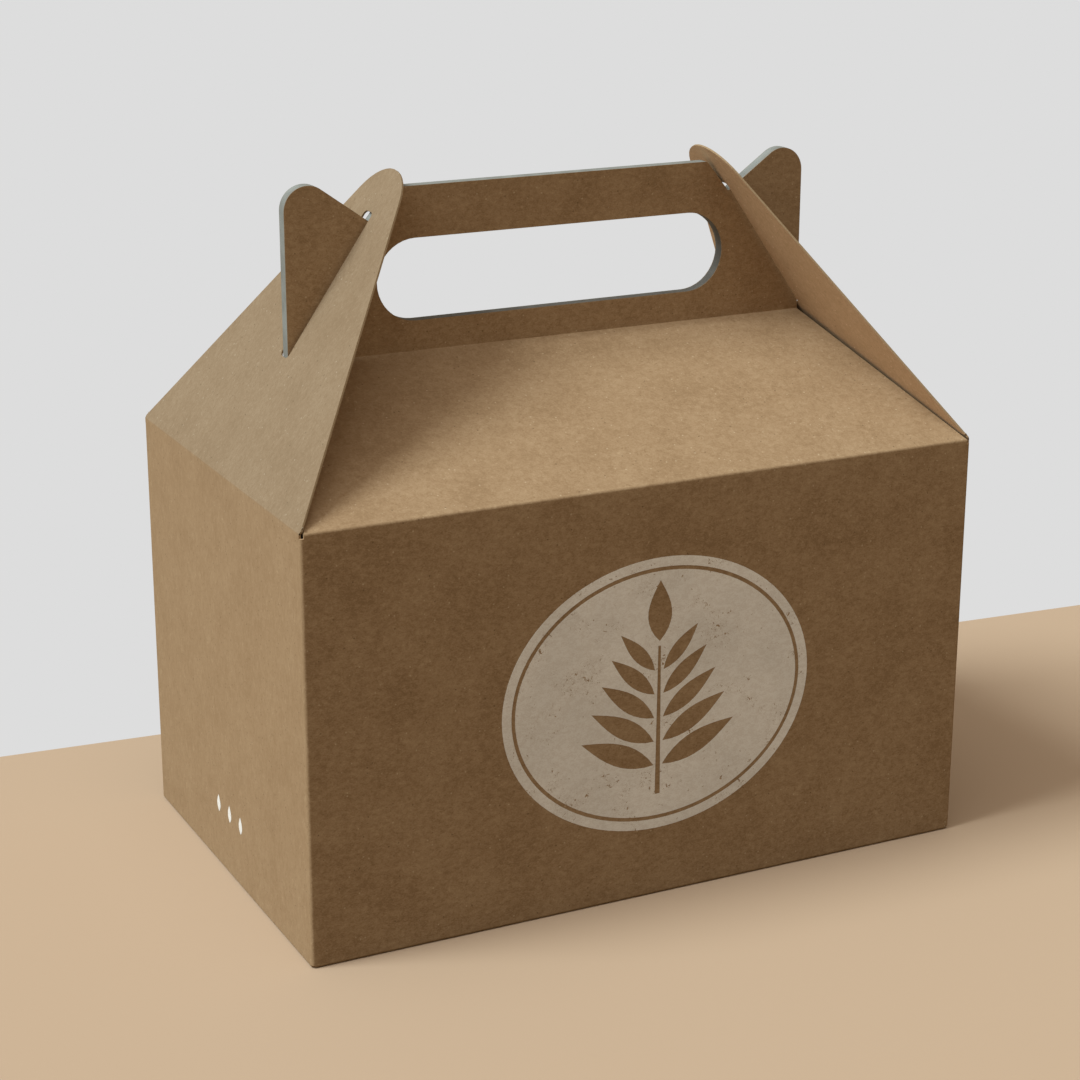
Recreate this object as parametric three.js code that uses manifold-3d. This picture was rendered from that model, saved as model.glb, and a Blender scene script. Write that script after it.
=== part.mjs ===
// Gable carry box of brown kraft board, in millimetres, +Z up, standing on z = 0.
// X runs along the box, the front wall faces -Y, and the origin is the middle of the base.
// The carton is one folded and glued sheet: an automatic bottom, four walls, two roof panels and
// a doubled handle whose ears reach through the slots of the two end flaps and lock them.
import * as THREE from 'three';
import { mergeVertices } from 'three/addons/utils/BufferGeometryUtils.js';
import Module from 'manifold-3d';

const wasm = await Module();
wasm.setup();

// The board and its folds
const board = 0.6;
const foldRadius = 0.7;
const hingeGap = 0.3;
const cutCornerRadius = 6;

// The body
const length = 230;
const width = 142;
const wallHeight = 136.5;
const cornerRelief = 1.4;

// The roof and the handle
const roofRise = 31.5;
const handleHeight = 51.9;
const handlePly = 1.9;
const handleGap = 0.3;
const handHoleLength = 122.8;
const handHoleHeight = 26.1;
const handHoleBelow = 9.6;
const barCornerRadius = 1.5;

// The end flaps, their slots and the ears that lock them
const flapLean = THREE.MathUtils.degToRad(34.5);
const flapTipRadius = 17.6;
const tipLand = 15;
const slotSidePlay = 1;
const slotEndPlay = 0.3;
const slotCornerRadius = 1.6;
const earReach = 91.9;
const earCornerRadius = 7.6;
const earSlope = THREE.MathUtils.degToRad(35.5);
const notchRadius = 0.6;
const notchGap = 0.6;
const barEndLean = THREE.MathUtils.degToRad(39);
const ridgeGap = 1.5;
const eaveGap = 0.6;

// The automatic bottom
const minorDepth = 62;
const minorTaper = 21;
const minorRise = 7;
const flapInset = 3;
const freeEdgeTaper = 11;
const glueTriangleDepth = 52;
const glueTriangleInset = 8;
const majorGap = 0.3;
const tabGap = 3;
const tabReach = 16;
const tabRoot = 6;
const tabFromMiddle = 6;
const tabUndercut = 4;
const tabNeckRadius = 1;
const creaseWidth = 0.8;
const creaseDepth = 0.15;

// The glued side seam, on the inside of the left end wall at the back
const seamWidth = 15;
const seamInset = 4;
const seamEndSlant = 4;

// Smoothness of arcs, and the distances that count as nothing
const arcStep = THREE.MathUtils.degToRad(9);
const beadSides = 16;
const mergeDistance = 1e-4;
const arcSlack = 1e-3;

// Places that follow from the sizes above
const foldOutside = foldRadius + board / 2;
const handleThickness = 2 * handlePly + handleGap;
const pitch = Math.atan(roofRise / (width / 2 - handleThickness / 2));
const ridgeZ = wallHeight + roofRise;
const handleTopZ = ridgeZ + handleHeight;
const hingeX = length / 2 - board / 2;
const wallTopZ = wallHeight - board / 2 - hingeGap;
const handleHalf = flapInnerX(ridgeZ) - ridgeGap;
const eaveX = flapInnerX(wallHeight) - eaveGap;
const slotWidth = handleThickness + 2 * slotSidePlay;
const slotCornerCut = Math.max(0, slotCornerRadius - slotSidePlay);
const slotEndRounding = slotCornerRadius - Math.sqrt(slotCornerRadius ** 2 - slotCornerCut ** 2);
const earEntry = (hingeX - handleHalf - board / 2 * Math.cos(flapLean)) / Math.sin(flapLean);
const slotStart = earEntry - slotEndPlay - slotEndRounding;
const slotEnd = earReach + slotEndPlay + slotEndRounding;
const flapLength = slotEnd + tipLand;

// Distance from the middle of the box to the inner face of a closed end flap at a height
function flapInnerX(z) {
  return hingeX - (z - wallHeight) * Math.tan(flapLean) - board / 2 / Math.cos(flapLean);
}

// Height of the middle of the roof board at a distance from the ridge plane
function roofMiddleZ(y) {
  return wallHeight + (width / 2 - y) * Math.tan(pitch) - board / 2 / Math.cos(pitch);
}

// Outline through corners [u, v, radius], each one with a radius rounded by an arc
function rounded(corners) {
  const points = corners.map(([u, v]) => new THREE.Vector2(u, v));
  const last = points.length - 1;
  const outline = [];
  corners.forEach(([, , radius = 0], i) => {
    if (radius === 0) {
      outline.push(points[i]);
      return;
    }
    const toPrevious = points[i === 0 ? last : i - 1].clone().sub(points[i]).normalize();
    const toNext = points[i === last ? 0 : i + 1].clone().sub(points[i]).normalize();
    const half = Math.acos(toPrevious.dot(toNext)) / 2;
    const middle = toPrevious.clone().add(toNext).normalize();
    const centre = points[i].clone().addScaledVector(middle, radius / Math.sin(half));
    const start = points[i].clone().addScaledVector(toPrevious, radius / Math.tan(half)).sub(centre);
    const turn = Math.sign(toNext.cross(toPrevious)) * (Math.PI - 2 * half);
    const steps = Math.max(2, Math.ceil(Math.abs(turn) / arcStep));
    for (let k = 0; k <= steps; k += 1) {
      const spoke = start.clone().rotateAround(new THREE.Vector2(), turn * k / steps);
      outline.push(spoke.add(centre));
    }
  });
  return outline;
}

// Section of a folded board: the path of its middle surface, given a thickness to each side
function sheetSection(path) {
  const corners = path.map(([u, v]) => new THREE.Vector2(u, v));
  const directions = corners.slice(1).map((corner, i) => corner.clone().sub(corners[i]).normalize());
  const normals = directions.map((way) => new THREE.Vector2(-way.y, way.x));
  const face = (side) => rounded(path.map(([u, v, radius = 0], i) => {
    const before = normals[Math.max(i - 1, 0)];
    const after = normals[Math.min(i, normals.length - 1)];
    const shift = before.clone().add(after).multiplyScalar(side * board / 2 / (1 + before.dot(after)));
    const turn = radius === 0 ? 0 : Math.sign(directions[i - 1].cross(directions[i]));
    return [u + shift.x, v + shift.y, radius - side * turn * board / 2];
  }));
  return [...face(1), ...face(-1).reverse()];
}

// The three ways to lay an outline before it is extruded: in plan, from the end and from the front
const plan = new THREE.Matrix4();
const fromEnd = new THREE.Matrix4().makeBasis(
  new THREE.Vector3(0, 1, 0),
  new THREE.Vector3(0, 0, 1),
  new THREE.Vector3(1, 0, 0),
);
const fromFront = new THREE.Matrix4().makeBasis(
  new THREE.Vector3(1, 0, 0),
  new THREE.Vector3(0, 0, 1),
  new THREE.Vector3(0, -1, 0),
);

function solid(geometry) {
  const bare = geometry.clone();
  bare.deleteAttribute('normal');
  bare.deleteAttribute('uv');
  const merged = mergeVertices(bare, mergeDistance);
  return new wasm.Manifold(new wasm.Mesh({
    numProp: 3,
    vertProperties: merged.attributes.position.array,
    triVerts: Uint32Array.from(merged.index.array),
  }));
}

function prism(outline, start, end, view, hole = null) {
  const shape = new THREE.Shape(outline);
  if (hole) shape.holes.push(new THREE.Path(hole));
  const geometry = new THREE.ExtrudeGeometry(shape, { depth: end - start, bevelEnabled: false });
  geometry.translate(0, 0, start);
  geometry.applyMatrix4(view);
  return solid(geometry);
}

function join(solids) {
  return solids.reduce((whole, piece) => whole.add(piece));
}

function mirrored(corners) {
  return corners.map(([u, v, radius]) => [-u, v, radius]).reverse();
}

function turnedAbout(corners) {
  return corners.map(([u, v, radius]) => [-u, -v, radius]);
}

// The four walls as one tube with rounded corners, open a little at the relief cuts
function wallTube() {
  const rectangle = (inset, radius) => {
    const x = length / 2 - inset;
    const y = width / 2 - inset;
    return rounded([[-x, -y, radius], [x, -y, radius], [x, y, radius], [-x, y, radius]]);
  };
  const outside = rectangle(0, foldOutside);
  const inside = rectangle(board, foldOutside - board);
  return prism(outside, foldOutside, wallHeight - cornerRelief, plan, inside);
}

// A long side: bottom fold, wall, roof panel and the inner ply of the handle, seen from the end
function longSide() {
  const wallY = width / 2 - board / 2;
  const plyY = handleGap / 2 + board / 2;
  const tall = handleTopZ + handleHeight;
  const sheet = sheetSection([
    [wallY - foldRadius - cutCornerRadius, board / 2],
    [wallY, board / 2, foldRadius],
    [wallY, roofMiddleZ(wallY), foldRadius],
    [plyY, roofMiddleZ(plyY), foldRadius],
    [plyY, tall],
  ]);
  const doubler = [
    [handleThickness / 2, roofMiddleZ(handleThickness / 2)],
    [handleThickness / 2, tall],
    [plyY, tall],
    [plyY, roofMiddleZ(plyY)],
  ];
  const back = [
    prism(sheet, -eaveX, eaveX, fromEnd),
    prism(rounded(doubler), -eaveX, eaveX, fromEnd),
  ];
  const halfTurn = (piece) => piece.rotate([0, 0, 180]);
  return join([...back, ...back.map(halfTurn)]);
}

// What the die cuts from the long sides: roof edges, handle ends, ears and flap notches
function frontOutline() {
  const cornerX = handleHalf - earCornerRadius;
  const cornerRise = Math.sqrt((earReach - earCornerRadius) ** 2 - (hingeX - cornerX) ** 2);
  const tangentX = cornerX - earCornerRadius * Math.sin(earSlope);
  const tangentZ = wallHeight + cornerRise + earCornerRadius * Math.cos(earSlope);
  const earCornerZ = tangentZ + (handleHalf - tangentX) * Math.tan(earSlope);
  const slopeFall = Math.tan(earSlope);
  const fallBelowFlap = earCornerZ - (handleHalf - flapInnerX(wallHeight) + notchGap) * slopeFall;
  const notchZ = wallHeight + (fallBelowFlap - wallHeight) / (1 + Math.tan(flapLean) * slopeFall);
  const notchX = flapInnerX(notchZ) - notchGap;
  const barEndX = notchX - (handleTopZ - notchZ) * Math.tan(barEndLean);
  const half = [
    [eaveX, -board],
    [eaveX, wallHeight, foldOutside],
    [handleHalf, ridgeZ, foldOutside],
    [handleHalf, earCornerZ, earCornerRadius],
    [notchX, notchZ, notchRadius],
    [barEndX, handleTopZ, barCornerRadius],
  ];
  return rounded([...half, ...mirrored(half)]);
}

function handHole() {
  const radius = handHoleHeight / 2;
  const x = handHoleLength / 2;
  const low = ridgeZ + handHoleBelow;
  const high = low + handHoleHeight;
  const round = radius - arcSlack;
  return rounded([[-x, low, round], [x, low, round], [x, high, round], [-x, high, round]]);
}

// An end wall with its bottom flap, which rises onto the long flaps just inside the fold
function shortSide() {
  const path = [
    [length / 2 - minorDepth / 2, 1.5 * board],
    [length / 2 - board - minorRise, 1.5 * board, foldRadius],
    [length / 2 - foldOutside - foldRadius, board / 2, foldRadius],
    [hingeX, board / 2, foldRadius],
    [hingeX, wallTopZ],
  ];
  const half = width / 2 - foldOutside;
  const right = prism(sheetSection(path), -half, half, fromFront);
  return right.add(right.rotate([0, 0, 180]));
}

// Long bottom flap of the front: a glued triangle to the left, a free edge to the right
function majorFlap() {
  const foldY = -width / 2 + foldOutside;
  const left = -length / 2 + glueTriangleInset;
  const crossing = -width / 2 + glueTriangleDepth;
  return [
    [-length / 2 + flapInset + foldOutside, foldY],
    [length / 2 - flapInset - foldOutside, foldY],
    [length / 2 - flapInset - freeEdgeTaper, -majorGap / 2, cutCornerRadius],
    [-length / 2 + minorDepth - cutCornerRadius, -majorGap / 2, cutCornerRadius],
    [left, crossing, cutCornerRadius],
    [left, foldY + glueTriangleInset - flapInset],
  ];
}

// Hooked tab of the front flap, lying over the back flap beside the tip of the left short flap
function lockTab() {
  const near = -tabFromMiddle;
  const far = -length / 2 + minorDepth + tabGap;
  return [
    [far, -tabRoot],
    [near, -tabRoot],
    [near, 0, tabNeckRadius],
    [near + tabUndercut, tabReach, cutCornerRadius / 2],
    [far + tabUndercut, tabReach, cutCornerRadius],
  ];
}

// Short bottom flap of the right end
function minorFlap() {
  const root = width / 2 - flapInset;
  const x = length / 2 - board - minorRise;
  const tip = length / 2 - minorDepth;
  return [
    [x, -root],
    [x, root],
    [tip, root - minorTaper, cutCornerRadius],
    [tip, -root + minorTaper, cutCornerRadius],
  ];
}

// The diagonal crease of the glued triangle, pressed into the underside
function triangleCrease() {
  const diagonal = glueTriangleDepth * Math.SQRT2;
  const start = foldOutside + flapInset;
  const bar = new THREE.BoxGeometry(diagonal - start, creaseWidth, 2 * creaseDepth);
  bar.translate((diagonal + start) / 2, 0, 0);
  bar.rotateZ(Math.PI / 4);
  bar.translate(-length / 2, -width / 2, 0);
  return solid(bar);
}

function bottom() {
  const layers = [majorFlap(), turnedAbout(majorFlap())].map((flap) => prism(rounded(flap), 0, board, plan));
  const upper = [lockTab(), turnedAbout(lockTab()), minorFlap(), turnedAbout(minorFlap())];
  const inner = upper.map((flap) => prism(rounded(flap), board, 2 * board, plan));
  const crease = triangleCrease();
  return join([...layers, ...inner]).subtract(crease).subtract(crease.rotate([0, 0, 180]));
}

// The seam tab is a continuation of the back wall, glued inside the left end wall
function sideSeam() {
  const inside = width / 2 - board;
  const tab = [
    [inside, seamInset],
    [inside, wallTopZ - seamInset],
    [inside - seamWidth, wallTopZ - seamInset - seamEndSlant],
    [inside - seamWidth, seamInset + seamEndSlant],
  ];
  const face = -length / 2 + board;
  return prism(rounded(tab), face, face + board, fromEnd);
}

function carton() {
  const cut = prism(frontOutline(), -width, width, fromFront);
  const hole = prism(handHole(), -width, width, fromFront);
  const sides = longSide().intersect(cut).subtract(hole);
  return join([sides, wallTube(), shortSide(), bottom(), sideSeam()]);
}

// End flap in its own plane: the hinge along Y at the origin, the tip up Z, the board about x = 0
function lockFlap() {
  const root = width / 2;
  const tipCentre = flapLength - flapTipRadius;
  const toCentre = Math.atan2(tipCentre, root);
  const sideAngle = toCentre + Math.asin(flapTipRadius / Math.hypot(tipCentre, root));
  const apex = root * Math.tan(sideAngle);
  const relief = cornerRelief - board;
  const reliefY = root - relief / Math.tan(sideAngle);
  const outline = rounded([
    [-root + relief, 0],
    [root - relief, 0],
    [reliefY, relief],
    [0, apex, flapTipRadius],
    [-reliefY, relief],
  ]);
  const plate = prism(outline, -board / 2, board / 2, fromEnd);
  const bead = new THREE.CylinderGeometry(board / 2, board / 2, 2 * (root - relief), beadSides);
  const slotSide = slotWidth / 2;
  const slot = rounded([
    [-slotSide, slotStart, slotCornerRadius],
    [slotSide, slotStart, slotCornerRadius],
    [slotSide, slotEnd, slotCornerRadius],
    [-slotSide, slotEnd, slotCornerRadius],
  ]);
  return plate.add(solid(bead)).subtract(prism(slot, -board, board, fromEnd));
}

function mesh(name, shape, material) {
  const { vertProperties, triVerts } = shape.getMesh();
  const geometry = new THREE.BufferGeometry();
  geometry.setAttribute('position', new THREE.BufferAttribute(vertProperties, 3));
  geometry.setIndex(new THREE.BufferAttribute(triVerts, 1));
  geometry.computeVertexNormals();
  const part = new THREE.Mesh(geometry, new THREE.MeshStandardMaterial(material));
  part.name = name;
  return part;
}

const kraft = { color: 0xa07f57, roughness: 0.85, metalness: 0 };
const box = new THREE.Group();
box.name = 'gable_box';
box.add(mesh('carton', carton(), kraft));
for (const [name, side] of [['left_lock_flap', -1], ['right_lock_flap', 1]]) {
  const flap = mesh(name, lockFlap(), kraft);
  flap.position.set(side * hingeX, 0, wallHeight);
  flap.rotation.y = -side * flapLean;
  box.add(flap);
}

export default box;
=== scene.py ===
"""Gable box of kraft board: its finish, cut edges, creases and print, and the floor, light and camera."""

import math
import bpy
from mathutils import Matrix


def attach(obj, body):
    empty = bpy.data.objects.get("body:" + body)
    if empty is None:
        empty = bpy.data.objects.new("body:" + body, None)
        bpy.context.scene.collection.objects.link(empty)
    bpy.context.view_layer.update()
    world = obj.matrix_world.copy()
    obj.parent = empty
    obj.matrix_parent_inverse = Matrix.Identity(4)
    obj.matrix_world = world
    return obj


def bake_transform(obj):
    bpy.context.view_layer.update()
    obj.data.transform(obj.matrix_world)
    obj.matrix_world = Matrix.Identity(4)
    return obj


bl_info = {
    "name": "Kraft gable box",
    "version": (1, 0, 0),
    "blender": (4, 5, 0),
    "location": "View3D > Sidebar > Gable Box",
    "description": "Dresses the gable box in kraft board and sets up its floor, light and camera",
    "category": "Object",
}

import bmesh
import bpy
from bpy.props import FloatProperty, FloatVectorProperty, IntProperty, PointerProperty
from mathutils import Matrix, Vector

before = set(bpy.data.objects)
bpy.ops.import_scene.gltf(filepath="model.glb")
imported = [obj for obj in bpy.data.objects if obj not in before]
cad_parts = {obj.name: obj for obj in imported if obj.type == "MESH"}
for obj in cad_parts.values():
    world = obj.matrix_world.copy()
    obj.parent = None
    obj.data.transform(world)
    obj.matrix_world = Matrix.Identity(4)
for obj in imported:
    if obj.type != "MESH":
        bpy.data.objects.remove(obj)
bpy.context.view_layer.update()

MM = 0.001
FLAPS = {"left_lock_flap": -1, "right_lock_flap": 1}

# Faces count as an end or as the roof when their direction along x or z passes these
FACES_END = 0.6
FACES_UP = 0.5

# Kraft board: shares of fine fibres and clouds in its mottle, strength of the grain on rough and
# on calm faces, how calm the roof is, and width of a hair line
FINE_SHARE = 0.62
CLOUD_SHARE = 0.45
ROUGH_GRAIN = 1.15
CALM_GRAIN = 0.6
ROOF_CALM = 0.6
HAIR_WIDTH = 0.016

# Shares of the cells that hold a dark or a pale speck, and thickness of the cut edge's layers
DARK_SPECKS = 0.07
PALE_SPECKS = 0.10
LAYER_SIZE = 0.14 * MM
SPECULAR = 0.28

# Darkest tone of the handle's edge and of the ink, and how sharply the ink breaks off
EDGE_SHADE = 0.72
INK_SHADE = 0.9
INK_CRISPNESS = 22

# Degrees between the points of an arc
ARC_STEP = 6

# Crowned band on the handle's cut edges, from its start above the ridge and its root in the
# board to its crown
BAND_START = 1 * MM
BAND_ROOT = 0.35 * MM
BAND_INSET = 0.02 * MM
BAND_SHOULDER = 0.16 * MM
BAND_RISE = 0.045 * MM
BAND_CROWN = 0.07 * MM
BAND_FLAT = 0.4

# Crease strips: distances from the fold in millimetres, how many steps at each end stay straight,
# and how they meet the board
CREASE_STEPS = (0.08, 0.2, 0.35, 0.7, 1.2, 2.2)
CREASE_STRAIGHT = 2
CREASE_PROUD = 0.03 * MM
CREASE_TAPER = 0.05 * MM
CREASE_ROWS = 56
SHARP_ANGLE = math.radians(40)

# Leaf print: rim and ring of the oval, and the sprig, in shares of the oval's half height, with
# the rise of its leaves in degrees
RIM_WIDTH = 3.2 * MM
RING_INSIDE = 4.4 * MM
STEM_HALF = 0.9 * MM
SPRIG_FOOT = -0.74
SPRIG_TOP = 0.36
FIRST_LEAF = 0.2
LEAF_REACH = 0.62
LEAF_SHORTER = 0.055
LEAF_HALF = 0.13
LEAF_FULLNESS = 0.85
LEAF_GAP = 1.7
LEAF_RISE = 24
LEAF_STEEPER = 6
TOP_LEAF_REACH = 0.44
TOP_LEAF_HALF = 4.2 * MM
TOP_LEAF_GAP = 1.6 * MM

# Small marks on the end wall, in shares of their length, and the height of their middle
MARK_SPACING = 1.7
MARK_HALF = 0.26
MARK_HEIGHT = 22 * MM

# Stage: floor outline on z = 0 and the camera's sensor and clipping distances in metres
FLOOR_CORNERS = [(-3, -3), (3, -3), (3, -0.136), (0.298, 0.0924), (-0.157, 0.1308), (-3, 0.371)]
SENSOR_WIDTH = 36
CLIP_START = 0.01
CLIP_END = 20


def length(name, default, description):
    return FloatProperty(
        name=name, default=default, description=description, unit="LENGTH", precision=5
    )


def angle(name, degrees, description):
    return FloatProperty(
        name=name, default=math.radians(degrees), description=description, subtype="ANGLE"
    )


def strength(name, default, description):
    return FloatProperty(name=name, default=default, description=description, min=0)


def colour(name, default, description, most=1):
    return FloatVectorProperty(
        name=name, default=default, description=description, subtype="COLOR", size=3, min=0, max=most
    )


def share(name, default, description):
    return FloatProperty(
        name=name, default=default, description=description, subtype="FACTOR", min=0, max=1
    )


def whole(name, default, least, most, description):
    return IntProperty(name=name, default=default, min=least, max=most, description=description)


class GableBoxSizes(bpy.types.PropertyGroup):
    """Sizes of the folded box, the same as in the solid model"""

    board: length("Board", 0.6 * MM, "Thickness of the kraft board")
    half_length: length("Half length", 115 * MM, "From the middle to an end wall's outer face")
    half_width: length("Half width", 71 * MM, "From the middle to the front wall's outer face")
    wall_height: length("Wall height", 136.5 * MM, "Height of the fold between wall and roof")
    ridge_height: length("Ridge height", 168 * MM, "Height where the handle starts")
    handle_top: length("Handle top", 219.9 * MM, "Height of the handle's top edge")
    handle_thickness: length("Handle thickness", 4.1 * MM, "Both doubled handle panels together")
    hand_hole_length: length("Hand hole length", 122.8 * MM, "Whole length of the hand hole")
    hand_hole_height: length("Hand hole height", 26.1 * MM, "Height of the hand hole")
    hand_hole_low: length("Hand hole bottom", 177.6 * MM, "Height of the hand hole's lower edge")
    bar_corner: length("Bar corner", 1.5 * MM, "Radius at the ends of the handle's top edge")
    notch_gap: length("Notch gap", 0.6 * MM, "From a closed flap's inner face to the notch")
    notch_radius: length("Notch radius", 0.6 * MM, "Radius at the bottom of the notch")
    ridge_gap: length("Ridge gap", 1.5 * MM, "From a closed flap's inner face to the handle's end")
    ear_reach: length("Ear reach", 91.9 * MM, "From the flap's crease to the far side of the ear")
    ear_corner: length("Ear corner", 7.6 * MM, "Radius of the ear's corner")
    flap_lean: angle("Flap lean", 34.5, "Lean of a closed end flap from the upright")
    ear_slope: angle("Ear slope", 35.5, "Slope of the ear's upper edge")
    bar_end_lean: angle("Bar end lean", 39, "Lean of the handle's ends above the notch")
    crease_half: length("Crease half", 70.2 * MM, "Half the length of an end flap's crease")


class GableBoxFinish(bpy.types.PropertyGroup):
    """Colours and grain of the kraft board"""

    kraft: colour("Kraft", (0.343, 0.228, 0.127), "Main colour of the board")
    kraft_dark: colour("Dark kraft", (0.215, 0.130, 0.060), "Darker clouds and fibres")
    # Also the colour of the folds' rubbed wear and painted highlight
    kraft_light: colour("Light kraft", (0.500, 0.365, 0.225), "Lighter fibres and rubbed folds")
    speck_dark: colour("Dark specks", (0.105, 0.062, 0.030), "Small dark specks in the pulp")
    speck_light: colour("Light specks", (0.600, 0.480, 0.330), "Small pale specks in the pulp")
    # Painted shade: the end flaps' outer side is darker and cooler than the same board on the end walls
    flap_painted_shade: colour("Flap tone", (0.72, 0.77, 0.84), "Outer side of the end flaps against the walls")
    # The inner side is partly paler board and partly painted light that brightens the inner faces
    paler_inside_and_painted_light: colour("Inner tone", (1.60, 1.65, 1.80), "Paler inner side of the board", 2)
    grain: share("Grain", 0.5, "Contrast of the fine grain")
    speck_size: length("Speck spacing", 1.6 * MM, "Spacing of the specks")
    core: colour("Core", (0.385, 0.285, 0.175), "Cut edge of the single board")
    handle_edge: colour("Handle edge", (0.270, 0.300, 0.295), "Smooth cut edge of the handle")
    # Painted shade: the hand hole's cut edge is the same board as the outline's edge, darkened for the
    # shade inside the hole
    hole_edge_painted_shade: colour("Hand hole edge", (0.105, 0.115, 0.115), "Darker cut edge of the hand hole")
    ink: colour("Ink", (0.930, 0.915, 0.880), "Off-white printing ink")
    roughness: share("Roughness", 0.78, "How matt the board is")
    fibre_size: length("Fibre size", 2.2 * MM, "Spacing of the larger fibres")
    cloud_size: length("Cloud size", 16 * MM, "Size of the soft clouds in the pulp")
    # Folds are made lighter partly as rubbed wear and partly as a painted highlight
    fold_wear_and_highlight: share("Fold wear", 0.12, "How much lighter the rubbed folds are")


class GableBoxPrint(bpy.types.PropertyGroup):
    """The plain leaf print of the front wall and the small marks of the left end wall"""

    centre_x: length("Print across", 2 * MM, "Middle of the print, from the middle of the box")
    centre_z: length("Print height", 68 * MM, "Height of the middle of the print")
    half_wide: length("Print half width", 54 * MM, "Half the width of the oval field")
    half_high: length("Print half height", 45 * MM, "Half the height of the oval field")
    lift: length("Ink lift", 0.04 * MM, "How far the ink stands proud of the board")
    leaf_pairs: whole("Leaf pairs", 5, 2, 9, "Pairs of leaves on the sprig")
    wear: share("Ink wear", 0.62, "How much of the ink is rubbed off")
    mark_size: length("Mark size", 6 * MM, "Length of each small mark on the end wall")
    marks: whole("Marks", 3, 1, 6, "Number of small marks")


class GableBoxStage(bpy.types.PropertyGroup):
    """Floor, light and camera"""

    floor: colour("Floor", (0.462, 0.342, 0.240), "Colour of the floor")
    floor_bounce: colour("Floor bounce", (0.32, 0.26, 0.16), "Share of light that the floor throws back")
    backdrop: colour("Background", (0.723, 0.723, 0.723), "Light grey behind the box")
    sky: colour("Soft light", (0.372, 0.308, 0.230), "Soft light from all round")
    key_strength: strength("Main light", 2.75, "Strength of the main light")
    key_turn: angle("Main light turn", -95, "Direction of the main light, from the front")
    key_height: angle("Main light height", 51, "Height of the main light above the horizon")
    key_softness: angle("Main light softness", 24, "Apparent width of the main light")
    key_colour: colour("Main light colour", (0.90, 0.985, 1.0), "Colour of the main and side lights")
    side_strength: strength("Side light", 0.55, "Strength of the low light from the left")
    side_turn: angle("Side light turn", -93, "Direction of the side light, from the front")
    side_height: angle("Side light height", 30, "Height of the side light above the horizon")
    side_softness: angle("Side light softness", 36, "Apparent width of the side light")
    fill_strength: strength("Top light", 0.85, "Strength of the soft light from above")
    fill_turn: angle("Top light turn", -60, "Direction of the top light, from the front")
    fill_height: angle("Top light height", 72, "Height of the top light above the horizon")
    fill_softness: angle("Top light softness", 60, "Apparent width of the top light")
    camera_turn: angle("Camera turn", -26.35, "Direction of the camera, from the front")
    camera_height: angle("Camera height", 17.94, "Height of the camera above the horizon")
    camera_roll: angle("Camera roll", 0.11, "Turn of the camera about its own line of sight")
    camera_distance: length("Camera distance", 0.8232, "From the camera to the point it looks at")
    camera_target: FloatVectorProperty(
        name="Camera target",
        default=(-0.0041, 0.0, 0.0987),
        description="Point the camera looks at",
        subtype="XYZ",
        unit="LENGTH",
    )
    lens: FloatProperty(
        name="Lens", default=83.147, description="Focal length in millimetres on a 36 mm sensor"
    )


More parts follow.
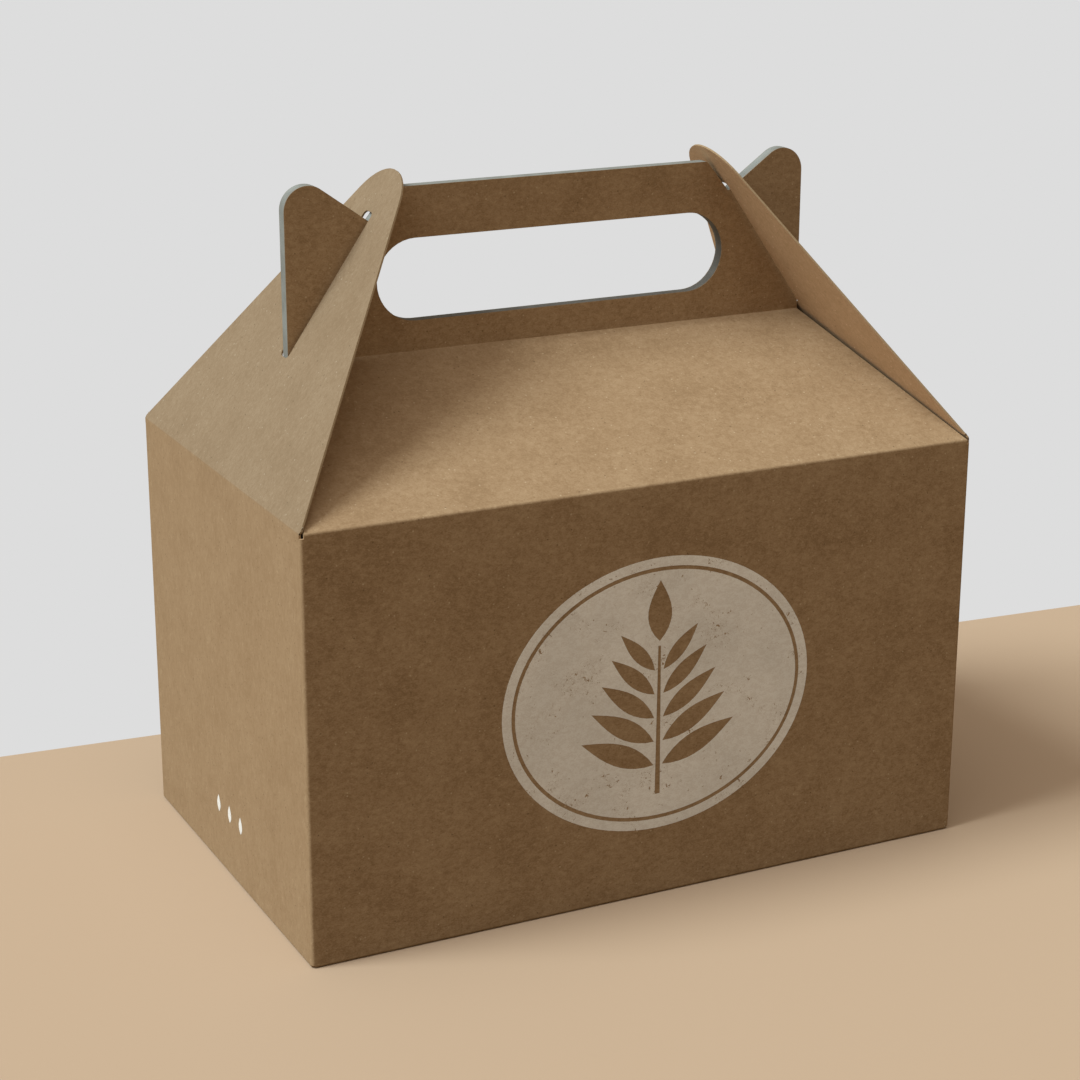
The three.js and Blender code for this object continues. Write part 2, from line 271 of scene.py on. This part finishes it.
class Net:
    """Short ways to add and join the shader nodes of one material"""

    def __init__(self, name):
        self.material = bpy.data.materials.new(name)
        self.material.use_nodes = True
        self.tree = self.material.node_tree
        self.shader = self.tree.nodes["Principled BSDF"]
        coordinates = self.tree.nodes.new("ShaderNodeTexCoord")
        self.place = coordinates.outputs["Object"]
        self.facing = coordinates.outputs["Normal"]
        apart = self.tree.nodes.new("ShaderNodeSeparateXYZ")
        self.tree.links.new(self.place, apart.inputs[0])
        self.x, self.y, self.z = apart.outputs

    def put(self, socket, value):
        if isinstance(value, bpy.types.NodeSocket):
            self.tree.links.new(value, socket)
        elif socket.type == "RGBA":
            socket.default_value = (*value, 1)
        else:
            socket.default_value = value

    def add(self, kind, inputs=(), **settings):
        node = self.tree.nodes.new(kind)
        for key, value in settings.items():
            setattr(node, key, value)
        for socket, value in inputs:
            self.put(node.inputs[socket], value)
        return node

    def math(self, operation, *values, clamp=False):
        inputs = enumerate(values)
        return self.add("ShaderNodeMath", inputs, operation=operation, use_clamp=clamp).outputs[0]

    def vector(self, operation, *values):
        return self.add("ShaderNodeVectorMath", enumerate(values), operation=operation)

    def times(self, first, *others):
        """Product of two or more values"""
        for other in others:
            first = self.math("MULTIPLY", first, other)
        return first

    def away(self, value, middle):
        """Distance of a value from a middle"""
        return self.math("ABSOLUTE", self.math("SUBTRACT", value, middle))

    def mix(self, amount, a, b, blend="MIX"):
        inputs = [(0, amount), (6, a), (7, b)]
        return self.add("ShaderNodeMix", inputs, data_type="RGBA", blend_type=blend).outputs[2]

    def tinted(self, base, tint):
        return self.mix(1.0, base, tint, "MULTIPLY")

    def ramp(self, value, low, high, start=0.0, end=1.0):
        """Smooth step of a value from start at low to end at high"""
        inputs = [(0, value), (1, low), (2, high), (3, start), (4, end)]
        return self.add("ShaderNodeMapRange", inputs, interpolation_type="SMOOTHSTEP").outputs[0]

    def line(self, value, width):
        """A thin line where a noise passes its middle"""
        return self.ramp(self.away(value, 0.5), 0.0, width, 1.0, 0.0)

    def stretched(self, scale):
        return self.vector("MULTIPLY", self.place, scale).outputs[0]

    def noise(self, size, detail=2.0, rough=0.5, bend=0.0, seed=0.0, coords=None):
        """Noise of a feature size in metres, shifted by a seed"""
        coords = coords or self.place
        if seed:
            shift = (seed, -0.7 * seed, 0.3 * seed)
            coords = self.vector("ADD", coords, shift).outputs[0]
        inputs = [("Vector", coords), ("Scale", 1 / size)]
        inputs += [("Detail", detail), ("Roughness", rough), ("Distortion", bend)]
        return self.add("ShaderNodeTexNoise", inputs).outputs["Fac"]

    def cells(self, size):
        """Distance to the middle of the nearest cell and that cell's own random number"""
        node = self.add("ShaderNodeTexVoronoi", [("Vector", self.place), ("Scale", 1 / size)])
        split = self.add("ShaderNodeSeparateColor", [(0, node.outputs["Color"])])
        return node.outputs["Distance"], split.outputs[0]

    def finish(self, base, height, roughness, bump=0.25, depth=0.06 * MM):
        inputs = [("Strength", bump), ("Distance", depth), ("Height", height)]
        bumps = self.add("ShaderNodeBump", inputs)
        self.put(self.shader.inputs["Base Color"], base)
        self.put(self.shader.inputs["Roughness"], roughness)
        self.put(self.shader.inputs["Normal"], bumps.outputs[0])
        self.shader.inputs["Specular IOR Level"].default_value = SPECULAR
        return self.material


def pulp(net, finish, upright=None, calm=0.0):
    """Colour and height of bare kraft board: clouds, fibres and specks

    Where upright is 1 the fibres run upright, and where calm is 1 the grain is weaker.
    """
    fibres = net.stretched((0.72, 0.72, 1.1))
    if upright is not None:
        inputs = [(0, upright), (4, fibres), (5, net.stretched((1.1, 1.1, 0.6)))]
        fibres = net.add("ShaderNodeMix", inputs, data_type="VECTOR").outputs[1]
    size = finish.fibre_size
    clouds = net.noise(finish.cloud_size, detail=4, rough=0.62)
    grain = net.noise(0.2 * size, detail=1, rough=0.6, seed=1.7, coords=fibres)
    fine = net.noise(0.7 * size, detail=3, rough=0.7, bend=0.5, seed=5.3, coords=fibres)
    tone = net.math("ADD", net.times(grain, 1 - FINE_SHARE), net.times(fine, FINE_SHARE))
    mottle = net.math("MULTIPLY_ADD", net.math("SUBTRACT", clouds, 0.5), CLOUD_SHARE, tone)
    change = (CALM_GRAIN - ROUGH_GRAIN) * finish.grain
    contrast = net.math("MULTIPLY_ADD", calm, change, ROUGH_GRAIN * finish.grain)
    darker = net.ramp(mottle, 0.30, 0.54, contrast, 0.0)
    lighter = net.ramp(mottle, 0.46, 0.72, 0.0, net.times(contrast, 0.8))
    base = net.mix(darker, finish.kraft, finish.kraft_dark)
    base = net.mix(lighter, base, finish.kraft_light)
    # Dark and pale hairs: spacing, seed, where they lie, colour and strength
    for spacing, seed, where, hair, amount in [
        (0.9, 11.0, clouds, finish.kraft_dark, 0.5),
        (1.3, 18.0, fine, finish.kraft_light, 0.45),
    ]:
        swirl = net.noise(spacing * size, detail=1, bend=1.2, seed=seed, coords=fibres)
        line = net.line(swirl, HAIR_WIDTH)
        base = net.mix(net.times(line, net.ramp(where, 0.48, 0.62), amount), base, hair)
    distance, chance = net.cells(finish.speck_size)
    dot = net.ramp(distance, 0.10, 0.22, 0.55, 0.0)
    dark = net.times(dot, net.math("LESS_THAN", chance, DARK_SPECKS))
    pale = net.times(dot, net.math("GREATER_THAN", chance, 1 - PALE_SPECKS))
    base = net.mix(dark, base, finish.speck_dark)
    base = net.mix(pale, base, finish.speck_light)
    return base, tone


def cut_edge(net, finish, coords=None):
    """Colour of the single board's cut edge, with its fine layers"""
    layers = net.noise(LAYER_SIZE, detail=2, rough=0.6, seed=8.3, coords=coords)
    return net.mix(net.ramp(layers, 0.35, 0.7), finish.core, finish.kraft_dark)


def roof_height(net, to_front, sizes):
    """Height of the roof panels' outer face at a distance in from the front or back wall"""
    run = sizes.half_width - sizes.handle_thickness / 2
    pitch = (sizes.ridge_height - sizes.wall_height) / run
    return net.math("MULTIPLY_ADD", to_front, pitch, sizes.wall_height)


def carton_material(sizes, finish):
    net = Net("kraft_carton")
    facing = net.add("ShaderNodeSeparateXYZ", [(0, net.facing)]).outputs
    sideways = net.math("GREATER_THAN", net.math("ABSOLUTE", facing[0]), FACES_END)
    upward = net.math("GREATER_THAN", net.math("ABSOLUTE", facing[2]), FACES_UP)
    calm = net.math("MAXIMUM", sideways, net.times(upward, ROOF_CALM))
    base, height = pulp(net, finish, sideways, calm)
    through = net.math("ABSOLUTE", net.y)
    to_end = net.math("SUBTRACT", sizes.half_length, net.math("ABSOLUTE", net.x))
    to_front = net.math("SUBTRACT", sizes.half_width, through)
    from_corner = net.math("ADD", to_end, to_front)
    from_eave = net.math("ADD", net.away(net.z, sizes.wall_height), to_front)
    from_root = net.away(through, sizes.handle_thickness / 2)
    from_ridge = net.math("ADD", net.away(net.z, sizes.ridge_height), from_root)
    to_side = net.math("MINIMUM", to_end, to_front)
    from_bottom = net.math("ADD", net.math("ABSOLUTE", net.z), to_side)
    rub = net.ramp(net.noise(4 * MM, detail=3, rough=0.6, bend=0.4, seed=9.1), 0.3, 0.6, 0.4, 1.0)
    # Folds are lightened, partly as rubbed wear and partly as a painted highlight: each fold with the
    # reach of its lightening in millimetres and its strength
    for distance, reach, amount in [
        (from_corner, 1.6, 0.9),
        (from_eave, 1.5, 0.5),
        (from_ridge, 1.3, 0.3),
        (from_bottom, 1.4, 0.5),
    ]:
        fold_lightening = net.times(net.ramp(distance, 0.4 * MM, reach * MM, 1.0, 0.0), rub)
        base = net.mix(net.times(fold_lightening, amount * finish.fold_wear_and_highlight), base, finish.kraft_light)
    above = net.math("GREATER_THAN", net.z, sizes.wall_height)
    core = cut_edge(net, finish, net.stretched((1.0, 1.0, 0.15)))
    base = net.mix(net.times(sideways, above), base, core)
    under_roof = net.math("SUBTRACT", roof_height(net, to_front, sizes), net.z)
    inward = [to_end, to_front, under_roof, net.z]
    inside = net.times(*[net.math("GREATER_THAN", depth, sizes.board / 2) for depth in inward])
    # Inside faces take the paler inner tone, partly board colour and partly painted light
    base = net.mix(inside, base, net.tinted(base, finish.paler_inside_and_painted_light))
    return net.finish(base, height, finish.roughness)


def flap_material(name, side, sizes, finish):
    net = Net(name + "_board")
    base, height = pulp(net, finish, 1.0, 1.0)
    lean = sizes.flap_lean
    outward = (side * math.cos(lean), 0.0, math.sin(lean))
    facing = net.vector("DOT_PRODUCT", net.facing, outward).outputs["Value"]
    # The outer side takes the flaps' painted shade, the inner side the paler tone that is partly painted
    # light
    inner, outer = net.tinted(base, finish.paler_inside_and_painted_light), net.tinted(base, finish.flap_painted_shade)
    base = net.mix(net.math("GREATER_THAN", facing, 0.0), inner, outer)
    edge = net.ramp(net.math("ABSOLUTE", facing), 0.45, 0.75, 1.0, 0.0)
    base = net.mix(edge, base, cut_edge(net, finish))
    return net.finish(base, height, finish.roughness)


def crease_material(name, sizes, finish):
    net = Net(name)
    base, height = pulp(net, finish, 1.0, 1.0)
    fold = sizes.wall_height
    # Above the fold the crease turns to the flaps' painted shade, a painted change of shade at the fold
    rise = net.ramp(net.z, fold - 0.4 * MM, fold + 0.4 * MM)
    base = net.mix(rise, base, net.tinted(base, finish.flap_painted_shade))
    return net.finish(base, height, finish.roughness)


def handle_edge_material(name, tone, sizes, finish):
    net = Net(name)
    soft = net.noise(7 * MM, seed=4.4)
    along = net.stretched((0.35, 1.6, 0.35))
    fine = net.noise(0.22 * MM, detail=3, rough=0.6, seed=6.6, coords=along)
    shade = tuple(EDGE_SHADE * value for value in tone)
    base = net.mix(net.ramp(soft, 0.3, 0.75), shade, tone)
    base = net.mix(net.ramp(fine, 0.35, 0.65, 0.22, 0.0), base, finish.kraft_dark)
    thickness = sizes.handle_thickness
    rim = net.ramp(net.math("ABSOLUTE", net.y), 0.40 * thickness, 0.49 * thickness)
    base = net.mix(net.times(rim, 0.5), base, finish.kraft_dark)
    return net.finish(base, fine, roughness=0.6, bump=0.15)


def ink_material(finish, wear):
    net = Net("off_white_ink")
    board, height = pulp(net, finish)
    tone = net.noise(20 * MM, seed=2.6)
    dull = tuple(INK_SHADE * value for value in finish.ink)
    ink = net.mix(net.ramp(tone, 0.3, 0.7), dull, finish.ink)
    ink = net.mix(net.ramp(height, 0.40, 0.60, 0.16, 0.0), ink, finish.kraft)
    zones = net.noise(13 * MM, detail=3, rough=0.6, bend=0.8, seed=7.7)
    crumbs = net.noise(1.5 * MM, detail=4, rough=0.7, bend=0.8, seed=8.8)
    streaks = net.noise(3.4 * MM, detail=3, rough=0.65, bend=2.2, seed=9.9)
    limit = net.ramp(zones, 0.42, 0.72, 0.735 - 0.10 * wear, 0.655 - 0.14 * wear)
    bare = net.math("MULTIPLY", net.math("SUBTRACT", crumbs, limit), INK_CRISPNESS, clamp=True)
    scratch = net.times(net.line(streaks, 0.012), net.ramp(zones, 0.5, 0.62), wear)
    base = net.mix(net.math("MAXIMUM", bare, scratch), ink, board)
    return net.finish(base, height, roughness=0.7, bump=0.18)


def rounded_path(corners, step=math.radians(ARC_STEP)):
    """Points of an open path through corners (x, z, radius), rounded by arcs"""
    points = [Vector(corner[:2]) for corner in corners]
    path = [points[0]]
    for i in range(1, len(points) - 1):
        radius = corners[i][2]
        before = (points[i - 1] - points[i]).normalized()
        after = (points[i + 1] - points[i]).normalized()
        half = before.angle(after) / 2
        centre = points[i] + (before + after).normalized() * radius / math.sin(half)
        spoke = points[i] + before * radius / math.tan(half) - centre
        turn = math.pi - 2 * half
        if before.x * after.y - before.y * after.x > 0:
            turn = -turn
        steps = max(3, math.ceil(abs(turn) / step))
        for k in range(steps + 1):
            path.append(centre + Matrix.Rotation(turn * k / steps, 2) @ spoke)
    return [*path, points[-1]]


def handle_path(sizes):
    """The handle's outline from the right ridge over the ears and the bar to the left ridge"""
    lean = math.tan(sizes.flap_lean)
    hinge = sizes.half_length - sizes.board / 2
    shift = sizes.board / 2 / math.cos(sizes.flap_lean)

    def flap_inner(z):
        return hinge - (z - sizes.wall_height) * lean - shift

    end = flap_inner(sizes.ridge_height) - sizes.ridge_gap
    corner = end - sizes.ear_corner
    rise = math.sqrt((sizes.ear_reach - sizes.ear_corner) ** 2 - (hinge - corner) ** 2)
    slope = math.tan(sizes.ear_slope)
    tangent_x = corner - sizes.ear_corner * math.sin(sizes.ear_slope)
    tangent_z = sizes.wall_height + rise + sizes.ear_corner * math.cos(sizes.ear_slope)
    corner_z = tangent_z + (end - tangent_x) * slope
    fall = corner_z - (end - flap_inner(sizes.wall_height) + sizes.notch_gap) * slope
    notch_z = sizes.wall_height + (fall - sizes.wall_height) / (1 + lean * slope)
    notch_x = flap_inner(notch_z) - sizes.notch_gap
    bar_x = notch_x - (sizes.handle_top - notch_z) * math.tan(sizes.bar_end_lean)
    half = [
        (end, sizes.ridge_height + BAND_START, 0),
        (end, corner_z, sizes.ear_corner),
        (notch_x, notch_z, sizes.notch_radius),
        (bar_x, sizes.handle_top, sizes.bar_corner),
    ]
    return rounded_path([*half, *[(-x, z, radius) for x, z, radius in reversed(half)]])


def hand_hole_path(sizes):
    """The hand hole's outline, two half circles joined by straight lines"""
    radius = sizes.hand_hole_height / 2
    reach = sizes.hand_hole_length / 2 - radius
    middle = sizes.hand_hole_low + radius
    path = []
    for side in (-1, 1):
        for k in range(180 // ARC_STEP + 1):
            turn = math.radians(90 + ARC_STEP * k)
            x = radius * math.cos(turn) - reach
            path.append(Vector((side * x, middle + side * radius * math.sin(turn))))
    return path


def refined(path, closed, step=2.5 * MM):
    """The same path with no stretch longer than a step"""
    ends = [*path[1:], path[0]] if closed else path[1:]
    fine = []
    for start, end in zip(path, ends):
        count = max(1, math.ceil((end - start).length / step))
        fine += [start.lerp(end, k / count) for k in range(count)]
    return fine if closed else [*fine, path[-1]]


def edge_band(name, path, closed, outward, sizes):
    """A crowned band on the board's cut edge, along a path seen from the front"""
    half = sizes.handle_thickness / 2
    front = [
        (-BAND_ROOT, BAND_INSET - half),
        (0.0, BAND_INSET - half),
        (BAND_RISE, BAND_SHOULDER - half),
        (BAND_CROWN, -BAND_FLAT * half),
    ]
    section = [*front, *[(lift, -y) for lift, y in reversed(front)]]
    path = refined(path, closed)
    last = len(path) - 1
    mesh = bmesh.new()
    rings = []
    for i, point in enumerate(path):
        before = path[i - 1] if closed or i else point
        after = path[(i + 1) % len(path)] if closed or i < last else point
        way = (after - before).normalized()
        normal = outward * Vector((-way.y, way.x))
        ring = []
        for lift, y in section:
            x, z = point + normal * lift
            ring.append(mesh.verts.new((x, y, z)))
        rings.append(ring)
    if closed:
        rings.append(rings[0])
    return tube(name, mesh, rings, capped=not closed)


def tube(name, mesh, rings, capped):
    """A smooth piece from rings of vertices, with or without faces at both ends"""
    for one, two in zip(rings, rings[1:]):
        for k in range(len(one)):
            m = (k + 1) % len(one)
            mesh.faces.new((one[k], one[m], two[m], two[k]))
    if capped:
        mesh.faces.new(rings[0])
        mesh.faces.new(reversed(rings[-1]))
    bmesh.ops.recalc_face_normals(mesh, faces=mesh.faces)
    return piece(name, mesh, smooth=True)


def piece(name, mesh, smooth=False):
    """A new object in the row frame from a bmesh"""
    data = bpy.data.meshes.new(name)
    mesh.to_mesh(data)
    mesh.free()
    if smooth:
        data.shade_smooth()
        data.set_sharp_from_angle(angle=SHARP_ANGLE)
    made = bpy.data.objects.new(name, data)
    bpy.context.scene.collection.objects.link(made)
    return made


def give(made, material):
    made.data.materials.clear()
    made.data.materials.append(material)


def crease_strip(name, side, sizes):
    """The bent board between an end wall and its flap, a hair proud of both"""
    hinge = Vector((sizes.half_length - sizes.board / 2, sizes.wall_height))
    lean = sizes.flap_lean
    half = sizes.board / 2 + CREASE_PROUD
    up = Vector((-math.sin(lean), math.cos(lean)))
    below = [Vector((0, -distance * MM)) for distance in reversed(CREASE_STEPS)]
    middle = [*below, Vector((0, 0)), *[up * distance * MM for distance in CREASE_STEPS]]
    bent = len(middle) - 1 - 2 * CREASE_STRAIGHT
    outer = []
    inner = []
    for i, offset in enumerate(middle):
        turn = lean * min(1, max(0, (i - CREASE_STRAIGHT) / bent))
        normal = Vector((math.cos(turn), math.sin(turn)))
        thick = half if 0 < i < len(middle) - 1 else half - CREASE_TAPER
        outer.append(hinge + offset + normal * thick)
        inner.append(hinge + offset - normal * thick)
    section = [*outer, *reversed(inner)]
    mesh = bmesh.new()
    rings = []
    for k in range(CREASE_ROWS + 1):
        y = sizes.crease_half * (2 * k / CREASE_ROWS - 1)
        rings.append([mesh.verts.new((side * x, y, z)) for x, z in section])
    return tube(name, mesh, rings, capped=True)


def leaf(start, way, reach, half, steps=10):
    """Outline of a pointed leaf from its foot, fullest a little below its middle"""
    side = Vector((-way.y, way.x))
    up, down = [], []
    for k in range(steps + 1):
        along = start + way * reach * k / steps
        bulge = side * half * math.sin(math.pi * (k / steps) ** LEAF_FULLNESS)
        up.append(along + bulge)
        down.append(along - bulge)
    return [*up, *down[-2:0:-1]]


def oval(wide, high, steps=96):
    turns = [2 * math.pi * k / steps for k in range(steps)]
    return [Vector((wide * math.cos(turn), high * math.sin(turn))) for turn in turns]


def flat_print(name, outlines, to_wall):
    """A thin flat print from closed outlines, the inner ones left bare, put on its wall"""
    curve = bpy.data.curves.new(name, "CURVE")
    curve.dimensions = "2D"
    curve.fill_mode = "BOTH"
    for outline in outlines:
        spline = curve.splines.new("POLY")
        spline.points.add(len(outline) - 1)
        for point, corner in zip(spline.points, outline):
            point.co = (corner.x, corner.y, 0, 1)
        spline.use_cyclic_u = True
    drawn = bpy.data.objects.new(name, curve)
    bpy.context.scene.collection.objects.link(drawn)
    bpy.context.view_layer.update()
    filled = drawn.evaluated_get(bpy.context.evaluated_depsgraph_get())
    data = bpy.data.meshes.new_from_object(filled)
    bpy.data.objects.remove(drawn)
    bpy.data.curves.remove(curve)
    if not data.polygons:
        raise RuntimeError(f"{name} has no filled shape")
    data.name = name
    data.transform(to_wall)
    made = bpy.data.objects.new(name, data)
    bpy.context.scene.collection.objects.link(made)
    return made


class GABLEBOX_OT_kraft_board(bpy.types.Operator):
    """Gives the carton and its two end flaps their kraft board"""

    bl_idname = "gable_box.kraft_board"
    bl_label = "Kraft board"

    def execute(self, context):
        sizes = context.scene.gable_box_sizes
        finish = context.scene.gable_box_finish
        give(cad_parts["carton"], carton_material(sizes, finish))
        for name, side in FLAPS.items():
            give(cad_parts[name], flap_material(name, side, sizes, finish))
        return {"FINISHED"}


class GABLEBOX_OT_handle_edges(bpy.types.Operator):
    """Adds the smooth cut edges of the doubled handle and its hand hole"""

    bl_idname = "gable_box.handle_edges"
    bl_label = "Handle edges"

    def execute(self, context):
        sizes = context.scene.gable_box_sizes
        finish = context.scene.gable_box_finish
        outline = edge_band("handle_outline_edge", handle_path(sizes), False, -1, sizes)
        hole = edge_band("hand_hole_edge", hand_hole_path(sizes), True, 1, sizes)
        # The hand hole's edge gets the darker tone, painted shade inside the hole
        for band, tone in ((outline, finish.handle_edge), (hole, finish.hole_edge_painted_shade)):
            give(band, handle_edge_material(band.name, tone, sizes, finish))
            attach(band, "carton")
        return {"FINISHED"}


class GABLEBOX_OT_flap_creases(bpy.types.Operator):
    """Adds the creases that the end flaps swing on"""

    bl_idname = "gable_box.flap_creases"
    bl_label = "Flap creases"

    def execute(self, context):
        sizes = context.scene.gable_box_sizes
        finish = context.scene.gable_box_finish
        for body, side in FLAPS.items():
            name = body.replace("_lock_flap", "_crease")
            strip = crease_strip(name, side, sizes)
            give(strip, crease_material(name, sizes, finish))
            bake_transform(strip)
        return {"FINISHED"}


class GABLEBOX_OT_leaf_print(bpy.types.Operator):
    """Prints a plain leaf sprig on the front wall and small leaves on the left end wall"""

    bl_idname = "gable_box.leaf_print"
    bl_label = "Leaf print"

    def execute(self, context):
        sizes = context.scene.gable_box_sizes
        design = context.scene.gable_box_print
        material = ink_material(context.scene.gable_box_finish, design.wear)
        upright = Matrix.Rotation(math.radians(90), 4, "X")
        to_front = Matrix.Translation(
            (design.centre_x, -sizes.half_width - design.lift, design.centre_z)
        )
        to_end = Matrix.Translation((-sizes.half_length - design.lift, 0.0, MARK_HEIGHT))
        to_end = to_end @ Matrix.Rotation(math.radians(-90), 4, "Z")
        for name, outlines, to_wall in [
            ("front_leaf_print", self.sprig(design), to_front),
            ("end_leaf_marks", self.marks(design), to_end),
        ]:
            made = flat_print(name, outlines, to_wall @ upright)
            give(made, material)
            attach(made, "carton")
        return {"FINISHED"}

    def sprig(self, design):
        """Outlines of the oval, its ring, the stem and the leaves"""
        wide, high = design.half_wide, design.half_high
        outlines = [oval(wide - inset, high - inset) for inset in (0, RIM_WIDTH, RING_INSIDE)]
        foot, top = SPRIG_FOOT * high, SPRIG_TOP * high
        stem = [(-STEM_HALF, foot), (STEM_HALF, foot), (0.5 * STEM_HALF, top), (-0.5 * STEM_HALF, top)]
        outlines.append([Vector(corner) for corner in stem])
        for k in range(design.leaf_pairs):
            share_up = FIRST_LEAF + (1 - FIRST_LEAF) * k / design.leaf_pairs
            along = foot + (top - foot) * share_up
            reach = high * (LEAF_REACH - LEAF_SHORTER * k)
            rise = math.radians(LEAF_RISE + LEAF_STEEPER * k)
            for side in (-1, 1):
                way = Vector((side * math.cos(rise), math.sin(rise)))
                start = Vector((side * LEAF_GAP * STEM_HALF, along))
                outlines.append(leaf(start, way, reach, LEAF_HALF * reach))
        tip = Vector((0, top + TOP_LEAF_GAP))
        outlines.append(leaf(tip, Vector((0, 1)), TOP_LEAF_REACH * high, TOP_LEAF_HALF))
        return outlines

    def marks(self, design):
        """Outlines of the row of small leaves"""
        size = design.mark_size
        outlines = []
        for k in range(design.marks):
            across = (k - (design.marks - 1) / 2) * MARK_SPACING * size
            start = Vector((across, -size / 2))
            outlines.append(leaf(start, Vector((0, 1)), size, MARK_HALF * size))
        return outlines


def direction(turn, rise):
    """From the box toward a light or camera that stands turned from the front and raised"""
    level = math.cos(rise)
    return Vector((math.sin(turn) * level, -math.cos(turn) * level, math.sin(rise)))


class GABLEBOX_OT_stage(bpy.types.Operator):
    """Adds the pale floor, the soft light and the camera"""

    bl_idname = "gable_box.stage"
    bl_label = "Floor, light and camera"

    def execute(self, context):
        stage = context.scene.gable_box_stage
        self.camera(context, stage)
        self.floor(stage)
        self.light(context, stage)
        return {"FINISHED"}

    def camera(self, context, stage):
        back = direction(stage.camera_turn, stage.camera_height)
        data = bpy.data.cameras.new("camera")
        data.lens = stage.lens
        data.sensor_width = SENSOR_WIDTH
        data.clip_start, data.clip_end = CLIP_START, CLIP_END
        made = bpy.data.objects.new("camera", data)
        made.location = Vector(stage.camera_target) + back * stage.camera_distance
        facing = (-back).to_track_quat("-Z", "Y").to_matrix().to_4x4()
        made.rotation_euler = (facing @ Matrix.Rotation(stage.camera_roll, 4, "Z")).to_euler()
        context.scene.collection.objects.link(made)
        context.scene.camera = made

    def floor(self, stage):
        mesh = bmesh.new()
        mesh.faces.new([mesh.verts.new((x, y, 0)) for x, y in FLOOR_CORNERS])
        made = piece("floor", mesh)
        net = Net("floor_paper")
        soft = net.noise(0.4, detail=1)
        pale = tuple(1.02 * value for value in stage.floor)
        seen = net.mix(net.ramp(soft, 0.3, 0.7), tuple(stage.floor), pale)
        bounce = net.add("ShaderNodeLightPath").outputs["Is Diffuse Ray"]
        base = net.mix(bounce, seen, net.tinted(seen, stage.floor_bounce))
        made.data.materials.append(net.finish(base, net.noise(1 * MM), roughness=0.85, bump=0.03))

    def light(self, context, stage):
        for name in ("key", "side", "fill"):
            turn, rise = getattr(stage, name + "_turn"), getattr(stage, name + "_height")
            data = bpy.data.lights.new(name + "_light", "SUN")
            data.energy = getattr(stage, name + "_strength")
            data.angle = getattr(stage, name + "_softness")
            data.color = stage.key_colour if name != "fill" else (1, 1, 1)
            made = bpy.data.objects.new(name + "_light", data)
            made.rotation_euler = direction(turn, rise).to_track_quat("Z", "Y").to_euler()
            context.scene.collection.objects.link(made)
        world = bpy.data.worlds.new("studio")
        world.use_nodes = True
        tree = world.node_tree
        sky = tree.nodes["Background"]
        sky.inputs["Color"].default_value = (*stage.sky, 1)
        behind = tree.nodes.new("ShaderNodeBackground")
        behind.inputs["Color"].default_value = (*stage.backdrop, 1)
        path = tree.nodes.new("ShaderNodeLightPath")
        mix = tree.nodes.new("ShaderNodeMixShader")
        tree.links.new(path.outputs["Is Camera Ray"], mix.inputs[0])
        tree.links.new(sky.outputs[0], mix.inputs[1])
        tree.links.new(behind.outputs[0], mix.inputs[2])
        tree.links.new(mix.outputs[0], tree.nodes["World Output"].inputs["Surface"])
        context.scene.world = world
        context.scene.view_settings.view_transform = "Standard"


class GABLEBOX_PT_panel(bpy.types.Panel):
    """Lists the steps that dress the box, and their settings"""

    bl_idname = "GABLEBOX_PT_panel"
    bl_label = "Gable box"
    bl_space_type = "VIEW_3D"
    bl_region_type = "UI"
    bl_category = "Gable Box"

    def draw(self, context):
        for step in STEPS:
            self.layout.operator(step.bl_idname)
        for name, kind in SETTINGS.items():
            box = self.layout.box()
            box.label(text=kind.__doc__)
            for key in kind.__annotations__:
                box.prop(getattr(context.scene, name), key)


STEPS = (
    GABLEBOX_OT_stage,
    GABLEBOX_OT_kraft_board,
    GABLEBOX_OT_handle_edges,
    GABLEBOX_OT_flap_creases,
    GABLEBOX_OT_leaf_print,
)
SETTINGS = {
    "gable_box_sizes": GableBoxSizes,
    "gable_box_finish": GableBoxFinish,
    "gable_box_print": GableBoxPrint,
    "gable_box_stage": GableBoxStage,
}


def register():
    for kind in (*SETTINGS.values(), *STEPS, GABLEBOX_PT_panel):
        bpy.utils.register_class(kind)
    for name, kind in SETTINGS.items():
        setattr(bpy.types.Scene, name, PointerProperty(type=kind))


def unregister():
    for name in SETTINGS:
        delattr(bpy.types.Scene, name)
    for kind in reversed((*SETTINGS.values(), *STEPS, GABLEBOX_PT_panel)):
        bpy.utils.unregister_class(kind)


def main():
    register()
    bpy.ops.gable_box.stage()
    bpy.ops.gable_box.kraft_board()
    bpy.ops.gable_box.handle_edges()
    bpy.ops.gable_box.flap_creases()
    bpy.ops.gable_box.leaf_print()


if __name__ == "__main__":
    main()
